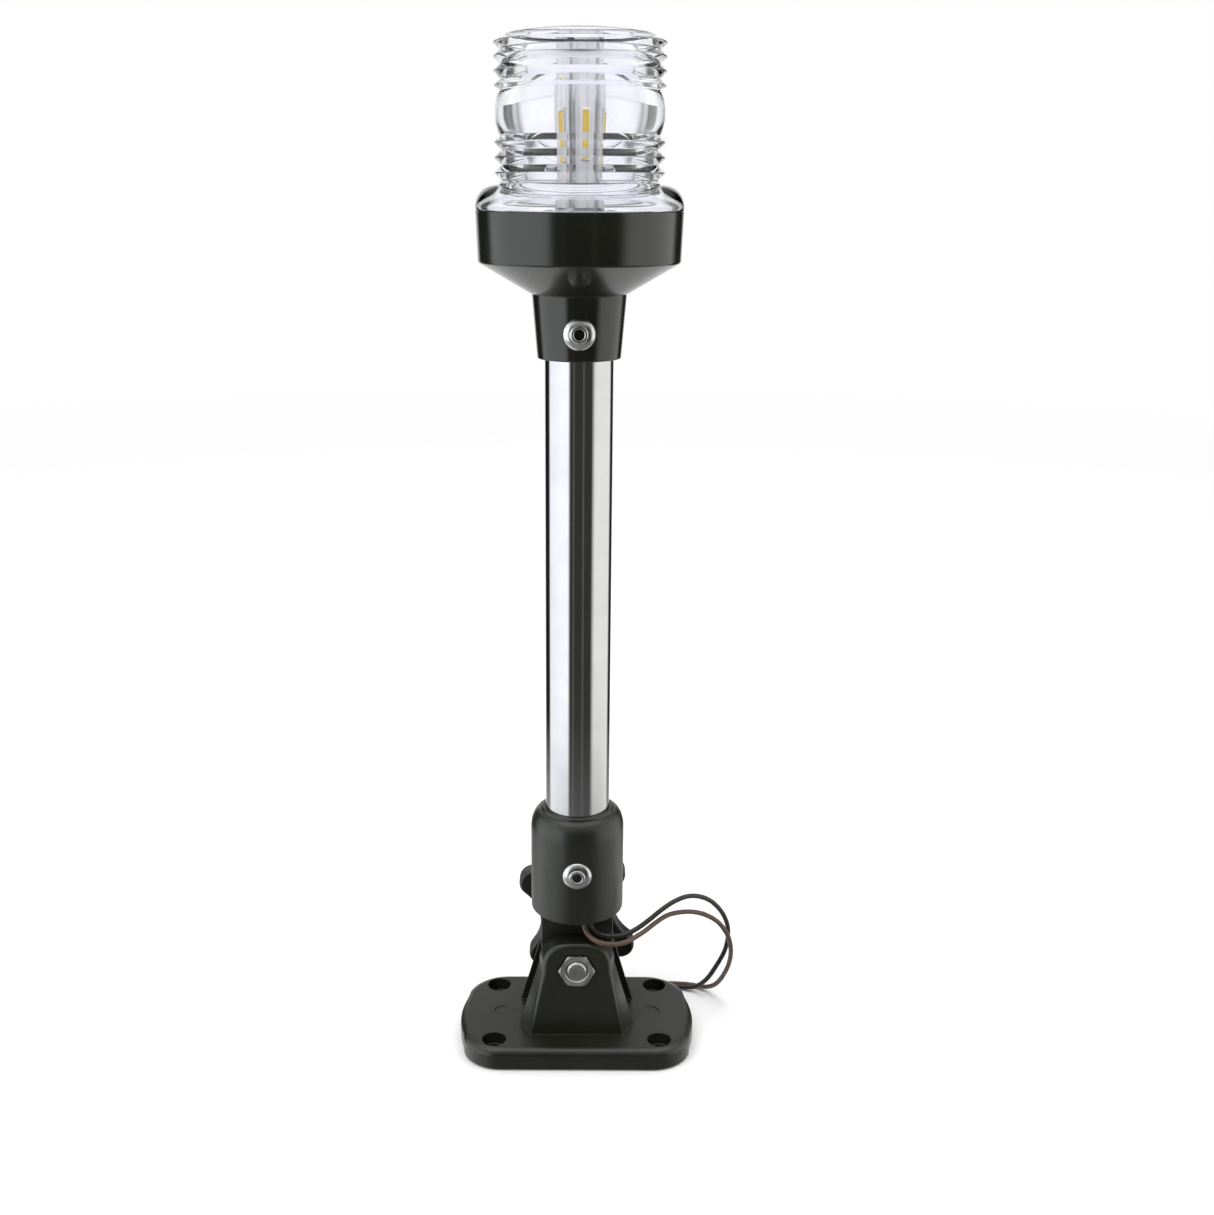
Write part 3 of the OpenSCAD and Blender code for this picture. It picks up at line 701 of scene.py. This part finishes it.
def ear(side):
    """One ear: its outline swells from a rounded outer face to the slot's face."""
    edge = 2.1
    rings = []
    for k in range(8):
        a = math.pi / 2 * k / 7
        inset = edge * (1 - math.sin(a))
        rings.append(ear_ring(side * (EAR_Y - edge * (1 - math.cos(a))),
                              EAR_FOOT - 0.5 * inset, EAR_WAIST - inset, EAR_CROWN - inset))
    for t in (0.35, 0.7, 0.93):
        y = EAR_Y - edge - t * (EAR_Y - edge - SLOT_Y)
        rings.append(ear_ring(side * y, EAR_FOOT + 4.6 * t, EAR_WAIST + 1.4 * t, 11.8))
    rings.append(ear_ring(side * SLOT_Y, 23.9, 14.9, 11.4))
    return loft("ear", rings)


def flared_hole(x, y):
    """A screw hole with a flat-bottomed head recess and a slightly rounded lip."""
    lip = 0.45
    return revolve("hole", [(0, -1), (HOLE_R, -1), (HOLE_R, PLATE_T - SINK_DEPTH),
                            (SINK_R - 0.2, PLATE_T - SINK_DEPTH), (SINK_R, PLATE_T - SINK_DEPTH + 0.2),
                            (SINK_R, PLATE_T - lip), (SINK_R + 0.1, PLATE_T - 0.2), (SINK_R + lip, PLATE_T),
                            (SINK_R + lip + 0.5, PLATE_T + 0.5), (0, PLATE_T + 0.5)], 48, (x, y, 0))


def soften(piece, chosen, width, segments):
    """Rounds the edges for which chosen(edge) holds."""
    bm = bmesh.new()
    bm.from_mesh(piece.data)
    bm.normal_update()
    edges = [e for e in bm.edges if len(e.link_faces) == 2 and chosen(e)]
    bmesh.ops.bevel(bm, geom=edges, offset=width * MM, segments=segments, profile=0.5, affect="EDGES",
                    clamp_overlap=True)
    bm.to_mesh(piece.data)
    bm.free()


def mounting_base():
    edge = PLATE_EDGE_R
    rings = [plate_ring(0, 0.6), plate_ring(0.15, 0.25), plate_ring(0.5, 0), plate_ring(PLATE_T - edge, 0)]
    for k in range(1, 9):
        a = math.pi / 2 * k / 8
        rings.append(plate_ring(PLATE_T - edge * (1 - math.sin(a)), edge * (1 - math.cos(a))))
    base = loft("mounting_base_moulding", rings)
    web_top = 23.9
    web = loft("web", [[(3, y, PLATE_T - 1), (17, y, PLATE_T - 1), (17, y, web_top), (3, y, web_top)]
                       for y in (-SLOT_Y - 1, SLOT_Y + 1)])
    combine(base, [ear(-1), ear(1), web], "UNION")

    def foot_edge(edge):
        level = all(abs(v.co.z / MM - PLATE_T) < 0.01 for v in edge.verts)
        tilts = sorted(abs(f.normal.z) for f in edge.link_faces)
        return level and tilts[1] > 0.99 and tilts[0] < 0.7

    soften(base, foot_edge, 3.0, 6)
    tools = [flared_hole(sx * HOLES["spacing_x_mm"] / 2, sy * HOLES["spacing_y_mm"] / 2)
             for sx in (-1, 1) for sy in (-1, 1)]
    for side in (-1, 1):
        tools.append(revolve("mark", [(0, PLATE_T - 0.3), (3.9, PLATE_T - 0.3), (4.15, PLATE_T),
                                      (4.3, PLATE_T + 1), (0, PLATE_T + 1)], 48, (side * MARK_X, 0, 0)))
    tools.append(revolve("bore", [(0, -20), (4.5, -20), (STUD_HOLE_R, -EAR_Y + 0.3),
                                  (STUD_HOLE_R, EAR_Y - 0.3), (4.5, EAR_Y + 0.3), (4.5, 20), (0, 20)],
                         48, (0, 0, PIVOT_Z), "y"))
    combine(base, tools, "DIFFERENCE")
    pocket_r = (NUT_HIGH.x - NUT_LOW.x) / 2 + 0.3
    pocket = []
    for depth, grow in ((12, 0), (EAR_Y - 0.55, 0), (EAR_Y - 0.15, 0.16), (EAR_Y + 0.6, 0.9)):
        pocket.append([((pocket_r + grow) * math.cos(math.pi / 3 * k), -depth,
                        PIVOT_Z + (pocket_r + grow) * math.sin(math.pi / 3 * k)) for k in range(6)])
    combine(base, [loft("pocket", pocket)], "DIFFERENCE")
    shade(base, 34)
    return base


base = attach(mounting_base(), "base")
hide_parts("mounting_base")
finish_with(base, satin_black)

# ---------------------------------------------------------------- mast socket and tube

TUBE_LOW, TUBE_HIGH = box_mm("mast_tube")
TUBE_R = TUBE_HIGH.x
TUBE_WALL = 1.25
SOCKET_HIGH = box_mm("mast_socket")[1]
SOCKET_R = SOCKET_HIGH.x
SOCKET_TOP = SOCKET_HIGH.z
SOCKET_Z = 57.6
SHOULDER_Z = SOCKET_TOP - 9
RIM_R = 14.1
SOCKET_FOOT_R = 14.4
CAVITY_R = 14.2
FLOOR_T = 3.4
TONGUE_R = 14.4
SOCKET_RIVET_Z = 81
LEAD_OUTLET = (4, -11.75)


def socket_outline():
    corners = [(0, SOCKET_Z, 0), (SOCKET_FOOT_R, SOCKET_Z, 0.9), (SOCKET_R - 0.25, SOCKET_Z + 1.8, 0.5),
               (SOCKET_R, SOCKET_Z + 2.2, 0.4)]
    outer = fillet(corners + [(SOCKET_R, SHOULDER_Z - 1, 0), (0, SHOULDER_Z, 0)], 6)[:-1]
    shoulder = [(RIM_R + (SOCKET_R - RIM_R) * math.cos(math.radians(7.5 * k)),
                 SHOULDER_Z + (SOCKET_TOP - 1 - SHOULDER_Z) * math.sin(math.radians(7.5 * k)))
                for k in range(12)]
    rim = fillet([(0, SOCKET_TOP - 20, 0), (RIM_R + 0.4, SOCKET_TOP - 1.1, 0), (RIM_R, SOCKET_TOP, 0.6),
                  (TUBE_R + 0.05, SOCKET_TOP, 0.3), (TUBE_R + 0.05, SOCKET_Z + 12, 0),
                  (CAVITY_R, SOCKET_Z + 10, 0), (CAVITY_R, SOCKET_Z + FLOOR_T, 0),
                  (0, SOCKET_Z + FLOOR_T, 0)], 4)[1:]
    return [tuple(p) for p in outer] + shoulder + [tuple(p) for p in rim]


def tongue():
    """The tongue in the slot, round below with a square heel on the stop's side."""
    outline = [(-14.5, SOCKET_Z + 1)] + arc((0, PIVOT_Z), TONGUE_R, 180, 270, 18)
    outline += [(13.9, PIVOT_Z - TONGUE_R), (14.3, PIVOT_Z - 14.2), (14.5, PIVOT_Z - 13.8),
                (14.5, SOCKET_Z + 1)]
    rings = []
    for y, inset in ((-TONGUE_HALF, 0.5), (-TONGUE_HALF + 0.15, 0.15), (-TONGUE_HALF + 0.5, 0),
                     (TONGUE_HALF - 0.5, 0), (TONGUE_HALF - 0.15, 0.15), (TONGUE_HALF, 0.5)):
        rings.append([(x - math.copysign(min(inset, abs(x)), x) * (abs(x) > 1), y,
                       z + inset * (z < PIVOT_Z - 10)) for x, z in outline])
    return loft("tongue", rings)


def rivet_boss(back, face, height):
    """A round seat for a rivet's head on the front, from back to face millimetres before the axis."""
    return revolve("boss", [(0, back), (5.9, back), (5.9, face - 0.35), (5.75, face - 0.1), (5.5, face),
                            (0, face)], 64, (0, 0, height), "-y")


def mast_socket():
    socket = revolve("mast_socket_moulding", socket_outline(), 144)
    combine(socket, [tongue(), rivet_boss(14, SOCKET_R, SOCKET_RIVET_Z)], "UNION")
    tools = [revolve("bore", [(0, -12), (STUD_HOLE_R, -12), (STUD_HOLE_R, 12), (0, 12)], 48,
                     (0, 0, PIVOT_Z), "y"),
             revolve("outlet", [(0, -2), (2.6, -2), (2.6, 5), (0, 5)], 32, (*LEAD_OUTLET, SOCKET_Z))]
    combine(socket, tools, "DIFFERENCE")
    return shade(socket, 30)


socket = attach(mast_socket(), "mast")
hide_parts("mast_socket")
finish_with(socket, satin_black)

inner_r = TUBE_R - TUBE_WALL
mast_tube = revolve("polished_tube", [tuple(p) for p in fillet([
    (inner_r, TUBE_LOW.z, 0.2), (TUBE_R, TUBE_LOW.z, 0.3), (TUBE_R, TUBE_HIGH.z, 0.3),
    (inner_r, TUBE_HIGH.z, 0.2)])], 144)
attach(shade(mast_tube), "mast")
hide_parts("mast_tube")
finish_with(mast_tube, polished_tube)

# ---------------------------------------------------------------- lamp housing

HOUSING_LOW, HOUSING_HIGH = box_mm("lamp_housing")
HOUSING_R = HOUSING_HIGH.x
HEAD_Z = HOUSING_HIGH.z
COLLAR_Z = HOUSING_LOW.z
COLLAR_TOP = COLLAR_Z + 23
BAND_Z = COLLAR_TOP + 11
LEDGE_R = 33.6
LEDGE_Z = HEAD_Z - 2.2
HOUSING_BORE_R = 32.4
RIVET_FACE = 16.7
COLLAR_RIVET_Z = COLLAR_Z + 10


def lamp_housing():
    outline = fillet([
        (TUBE_R + 0.05, COLLAR_Z, 0.3), (15.3, COLLAR_Z, 0.5), (17.2, COLLAR_TOP, 0.5),
        (17.7, COLLAR_TOP + 0.1, 0.3), (HOUSING_R - 0.7, BAND_Z, 0.7), (HOUSING_R - 0.1, HEAD_Z - 1, 0),
        (HOUSING_R, HEAD_Z - 0.3, 0.2), (HOUSING_R - 0.3, HEAD_Z, 0.2), (LEDGE_R, HEAD_Z, 0.2),
        (LEDGE_R, LEDGE_Z, 0), (HOUSING_BORE_R, LEDGE_Z, 0), (HOUSING_BORE_R, BAND_Z + 1.6, 1.0),
        (14.5, COLLAR_TOP + 2, 0.5), (3, COLLAR_TOP + 2, 0), (3, COLLAR_TOP - 2, 0),
        (TUBE_R + 0.05, COLLAR_TOP - 2, 0)], 5)
    housing = revolve("lamp_housing_moulding", [tuple(p) for p in outline], 160)
    combine(housing, [rivet_boss(13.4, RIVET_FACE, COLLAR_RIVET_Z)], "UNION")
    return shade(housing, 28)


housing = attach(lamp_housing(), "mast")
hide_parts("lamp_housing")
finish_with(housing, gloss_black)

# ---------------------------------------------------------------- lens

LENS_LOW, LENS_HIGH = box_mm("lens")
LENS_R = LENS_HIGH.x
WALL_R = 27.7
BORE_R = 23.0
RIB_R = 30.2
RIB_HALF = 2.5
SKIRT_H = 9.3
SKIRT_LOW = 1.1
SKIRT_TOP_R = 28.3
LOW_RIBS = (12.7, 17.8, 22.9)
TOP_RIBS = (41.4, 46.2, 50.9, 55.5)
BULGE = (25.3, 39.8)
BULGE_EDGE_R = 28.2
BULGE_R = 29.8
CROWN_H = 58.0
CROWN_R = 26.2
DOME_RISE = LENS_HIGH.z - LENS_LOW.z - CROWN_H
ROOF_T = 3.0


def lens_outline():
    """The wall's section: a quarter-round skirt, V ribs, a bulged window, V ribs and a low dome."""
    skirt = [(SKIRT_TOP_R + (LENS_R - SKIRT_TOP_R) * math.cos(math.radians(4 * k)),
              SKIRT_LOW + (SKIRT_H - SKIRT_LOW) * math.sin(math.radians(4 * k))) for k in range(1, 23)]
    foot = fillet([(LEDGE_R, 0, 0.2), (LENS_R, 0, 0.35), (LENS_R, 3, 0)], 4)[:-1]
    points = [tuple(p) for p in foot] + [(LENS_R, SKIRT_LOW)] + skirt
    corners = [(SKIRT_TOP_R, SKIRT_H, 0)]
    for height in LOW_RIBS:
        corners += [(WALL_R, height - RIB_HALF, 0.35), (RIB_R, height, 0.32),
                    (WALL_R, height + RIB_HALF, 0.35)]
    corners = [c for i, c in enumerate(corners) if i + 1 == len(corners) or c[:2] != corners[i + 1][:2]]
    points += [tuple(p) for p in fillet(corners + [(BULGE_EDGE_R, BULGE[0], 0)], 4)][1:-1]
    middle, half = (BULGE[0] + BULGE[1]) / 2, (BULGE[1] - BULGE[0]) / 2
    points += [(BULGE_EDGE_R + (BULGE_R - BULGE_EDGE_R) * (1 - (k / 12) ** 2), middle + half * k / 12)
               for k in range(-12, 13)]
    corners = [(28, TOP_RIBS[0] - 1, 0.2)]
    for height, above in zip(TOP_RIBS, TOP_RIBS[1:]):
        corners += [(RIB_R, height, 0.32), (WALL_R, (height + above) / 2, 0.35)]
    corners += [(RIB_R, TOP_RIBS[-1], 0.32), (CROWN_R, CROWN_H, 0.5),
                (0.9 * CROWN_R, CROWN_H + 0.19 * DOME_RISE, 0)]
    points += [tuple(p) for p in fillet([(0, 0, 0)] + corners + [(0, CROWN_H, 0)], 4)][1:-1]
    points += [(CROWN_R * k / 12, CROWN_H + DOME_RISE * (1 - (k / 12) ** 2)) for k in range(10, -1, -1)]
    inner = fillet([(0, CROWN_H - ROOF_T, 0), (BORE_R, CROWN_H - ROOF_T, 1.6), (BORE_R, 8.5, 0),
                    (0, 8, 0)], 6)[:-1]
    points += [tuple(p) for p in inner]
    points += [(25 + (LEDGE_R - 25) * math.cos(math.radians(5 * k)), 0.8 + 5 * math.sin(math.radians(5 * k)))
               for k in range(16, 0, -1)]
    return points


def clear_lens():
    return shade(revolve("clear_lens", lens_outline(), 192, (0, 0, LENS_LOW.z)), 24)


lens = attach(clear_lens(), "mast")
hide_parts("lens")
finish_with(lens, lens_clear)
lens.visible_shadow = False

# ---------------------------------------------------------------- rivets, LED packages, knob


def rivet(name, height, face):
    """A blind rivet's shell: a low domed head with a raised rim round the mandrel's hole."""
    outline = [(1.8, 0.4), (1.8, -4.5), (2.4, -4.5), (2.4, 0), (5.35, 0), (5.55, 0.12), (5.6, 0.35),
               (5.4, 0.62), (4.9, 0.95), (4.4, 1.2), (3.9, 1.38), (3.4, 1.47), (3.18, 1.55), (3.1, 1.7),
               (3.06, 1.9), (2.95, 2.03), (2.75, 2.1), (2.3, 2.1), (2.1, 2.04), (1.95, 1.9), (1.86, 1.6),
               (1.8, 1.2)]
    shell = shade(revolve(name, outline, 72, (0, 0, height), "-y"), 40)
    shell.data.transform(Matrix.Translation((0, -face * MM, 0)))
    return shell


for name, height, face in (("socket_rivet", SOCKET_RIVET_Z, SOCKET_R),
                           ("collar_rivet", COLLAR_RIVET_Z, RIVET_FACE)):
    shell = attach(rivet(name, height, face), "mast")
    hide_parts("rivet_shells")
    finish_with(shell, satin_aluminium)

TOWER_TURN = 12.7
LED_W, LED_T, LED_L = 3.2, 0.8, 8.4
LED_LOW, LED_HIGH = box_mm("led_chips")
TOWER_AF = 14.6


def led_packages():
    """Six packages: a white frame round a slightly domed phosphor window."""
    points, faces, kinds = [], [], []
    for k in range(6):
        turn = Matrix.Rotation(math.radians(TOWER_TURN + 30 + 60 * k), 3, "Z")
        centre = (LED_LOW.z + LED_HIGH.z) / 2
        back = TOWER_AF / 2 + 1
        loops = [(back, 0, 0), (back + LED_T - 0.12, 0, 0), (back + LED_T, 0.12, 0), (back + LED_T, 0.38, 0),
                 (back + LED_T - 0.15, 0.46, 1), (back + LED_T - 0.03, 0.95, 1)]
        start = len(points)
        for depth, inset, _ in loops:
            for sy, sz in ((-1, -1), (1, -1), (1, 1), (-1, 1)):
                points.append(turn @ Vector((depth, sy * (LED_W / 2 - inset), 0))
                              + Vector((0, 0, centre + sz * (LED_L / 2 - inset))))
        for i in range(len(loops) - 1):
            for c in range(4):
                faces.append([start + 4 * i + c, start + 4 * i + (c + 1) % 4, start + 4 * i + 4 + (c + 1) % 4,
                              start + 4 * i + 4 + c])
                kinds.append(1 if i >= 4 else 0)
        faces += [[start + c for c in range(4)], [start + 4 * (len(loops) - 1) + c for c in range(4)]]
        kinds += [0, 1]
    package = make_mesh("led_packages", points, faces)
    finish_with(package, led_frame, phosphor)
    for face, kind in zip(package.data.polygons, kinds):
        face.material_index = kind
    return package


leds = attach(led_packages(), "mast")
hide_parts("led_chips")

KNOB_LOW, KNOB_HIGH = box_mm("star_knob")
LOBES = 4
FIRST_LOBE = 142
LOBE_PCD_R = 24.0
LOBE_R = 6.0
GAP_TO = 16.0
NECK_L = 8.2


def star_ring(y, inset):
    """The knob's smooth lobed outline, shrunk evenly by an inset."""
    half = 180 / LOBES
    across, along = LOBE_PCD_R * math.sin(math.radians(half)), LOBE_PCD_R * math.cos(math.radians(half))
    gap_r = (across ** 2 + (along - GAP_TO) ** 2 - LOBE_R ** 2) / (2 * (LOBE_R + along - GAP_TO))
    gap_at = GAP_TO + gap_r
    sweep = math.degrees(math.atan2(across, gap_at - along))
    ring = []
    for k in range(LOBES):
        a = FIRST_LOBE + 2 * half * k
        lobe = [LOBE_PCD_R * math.cos(math.radians(a)), LOBE_PCD_R * math.sin(math.radians(a))]
        gap = [gap_at * math.cos(math.radians(a + half)), gap_at * math.sin(math.radians(a + half))]
        ring += arc(lobe, LOBE_R - inset, a - half - sweep, a + half + sweep, 20)
        ring += arc(gap, gap_r + inset, a + 180 + half + sweep, a + 180 + half - sweep, 14)[1:-1]
    return [(x, y, PIVOT_Z + z) for x, z in ring]


def star_knob():
    """Lobes with generous rounded edges on a hub, and a shallow recessed cap at the back."""
    low, high = KNOB_LOW.y + NECK_L, KNOB_HIGH.y - 1.2
    front, back = 1.6, 2.6
    rings = [star_ring(low + front * (1 - math.cos(a)), front * (1 - math.sin(a)))
             for a in (math.pi / 2 * k / 5 for k in range(6))]
    rings += [star_ring(high - back * (1 - math.cos(a)), back * (1 - math.sin(a)))
              for a in (math.pi / 2 * k / 8 for k in range(8, -1, -1))]
    knob = loft("star_knob_moulding", rings)
    hub = revolve("hub", [tuple(p) for p in fillet([
        (4.0, KNOB_LOW.y, 0.2), (10, KNOB_LOW.y, 0.5), (10, low + 2, 0), (4.0, low + 2, 0)], 4)], 64,
        (0, 0, PIVOT_Z), "y")
    cap = revolve("cap", [tuple(p) for p in fillet([
        (0, high - 2, 0), (9, high - 2, 0), (9, high + 1.2, 0.7), (7.4, high + 1.2, 0.4),
        (7.0, high + 0.5, 0.3), (0, high + 0.7, 0)], 4)], 64, (0, 0, PIVOT_Z), "y")
    combine(knob, [hub, cap], "UNION")
    return shade(knob, 34)


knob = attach(star_knob(), "knob")
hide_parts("star_knob")
finish_with(knob, knob_black)

# ---------------------------------------------------------------- CAD nodes that stay


def keep_node(name, material, bevel_mm=0.0, crisp=False):
    """A CAD node with its own material, welded and lightly rounded for shading.

    A crisp one is split at its edges and keeps flat faces.
    """
    node = finish_with(frame["nodes"][name], material)
    weld = node.modifiers.new("weld", "WELD")
    weld.merge_threshold = 0.002 * MM
    if bevel_mm:
        bevel = node.modifiers.new("bevel", "BEVEL")
        bevel.width = bevel_mm * MM
        bevel.segments = 2
        bevel.limit_method = "ANGLE"
        bevel.angle_limit = math.radians(40)
        bevel.use_clamp_overlap = True
    node.data.shade_smooth()
    if crisp:
        split = node.modifiers.new("edge_split", "EDGE_SPLIT")
        split.split_angle = math.radians(25)
        return node
    smooth = node.modifiers.new("weighted_normals", "WEIGHTED_NORMAL")
    smooth.keep_sharp = True
    return node


for name, material, bevel_mm in (
        ("knob_washer", machined_steel, 0.15), ("knob_stud", nut_steel, 0.1),
        ("rivet_mandrels", dark_steel, 0.15), ("wire_grommet", black_rubber, 0.2),
        ("lead_pair", black_pvc, 0), ("tube_plug", black_rubber, 0.3), ("light_deck", deck_black, 0.2),
        ("lens_seal", black_rubber, 0.2), ("driver_board", green_board, 0),
        ("driver_capacitors", capacitor_sleeve, 0.3), ("driver_inductor", ferrite_grey, 0.2),
        ("driver_chips", chip_moulding, 0.1), ("board_screws", machined_steel, 0.2),
        ("tower_leads", red_pvc, 0), ("led_tower", tower_aluminium, 0.25), ("led_boards", white_board, 0.08),
        ("tower_screws", machined_steel, 0.3)):
    keep_node(name, material, bevel_mm)
keep_node("pivot_nut", nut_steel, crisp=True)
